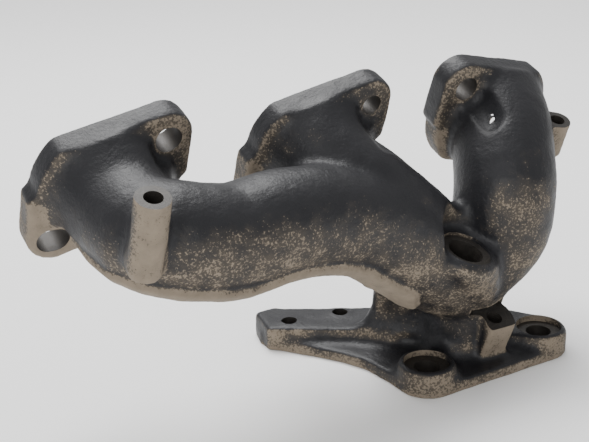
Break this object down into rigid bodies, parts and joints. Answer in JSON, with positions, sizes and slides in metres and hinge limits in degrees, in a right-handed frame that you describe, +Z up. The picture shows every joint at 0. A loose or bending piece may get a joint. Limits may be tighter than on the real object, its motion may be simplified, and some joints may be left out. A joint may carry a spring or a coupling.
{
  "type": "exhaust manifold",
  "caption": "Cast-iron exhaust manifold: bolted port flanges feed curved runners that join over a triangular outlet flange with a bracket arm and a sensor boss.",
  "frame": {"origin": "centre of the outlet opening, on the face of the outlet flange", "axes": "+X along the row of ports, from the long runner's end towards the short one; +Y towards the cylinder head; +Z up, out of the outlet flange towards the runners. The gasket faces lean back 21 degrees and look along +Y and up."},
  "size_m": [0.2838, 0.1301, 0.1527],
  "materials": {
    "port_flange_left": "as-cast skin, bluish black above, brownish grey where rubbed",
    "port_flange_middle": "as-cast skin, bluish black above, brownish grey where rubbed",
    "port_flange_right": "as-cast skin, bluish black above, brownish grey where rubbed",
    "runner_left_elbow": "as-cast skin, bluish black above, brownish grey where rubbed",
    "runner_left_log": "as-cast skin, bluish black above, brownish grey where rubbed",
    "runner_middle": "as-cast skin, bluish black above, brownish grey where rubbed",
    "runner_right": "as-cast skin, bluish black above, brownish grey where rubbed",
    "collector": "as-cast skin, bluish black above, brownish grey where rubbed",
    "outlet_neck": "as-cast skin, bluish black above, brownish grey where rubbed",
    "outlet_flange": "as-cast skin with machined bolt seats",
    "bracket_arm": "as-cast skin, dark above and paler on its edges",
    "parting_band": "as-cast skin, lightly worn and paler than the rest",
    "sensor_boss": "machined face and threads in a cast boss",
    "shield_boss_left": "as-cast skin, bluish black above, brownish grey where rubbed",
    "shield_boss_right": "as-cast skin, bluish black above, brownish grey where rubbed",
    "flange_post": "as-cast skin, bluish black above, brownish grey where rubbed"
  },
  "bodies": {
    "root": {"port_flange_left": "port_flange_left", "port_flange_middle": "port_flange_middle", "port_flange_right": "port_flange_right", "runner_left_elbow": "runner_left_elbow", "runner_left_log": "runner_left_log", "runner_middle": "runner_middle", "runner_right": "runner_right", "collector": "collector", "outlet_neck": "outlet_neck", "outlet_flange": "outlet_flange", "bracket_arm": "bracket_arm", "parting_band": "parting_band", "sensor_boss": "sensor_boss", "shield_boss_left": "shield_boss_left", "shield_boss_right": "shield_boss_right", "flange_post": "flange_post"}
  },
  "joints": []
}
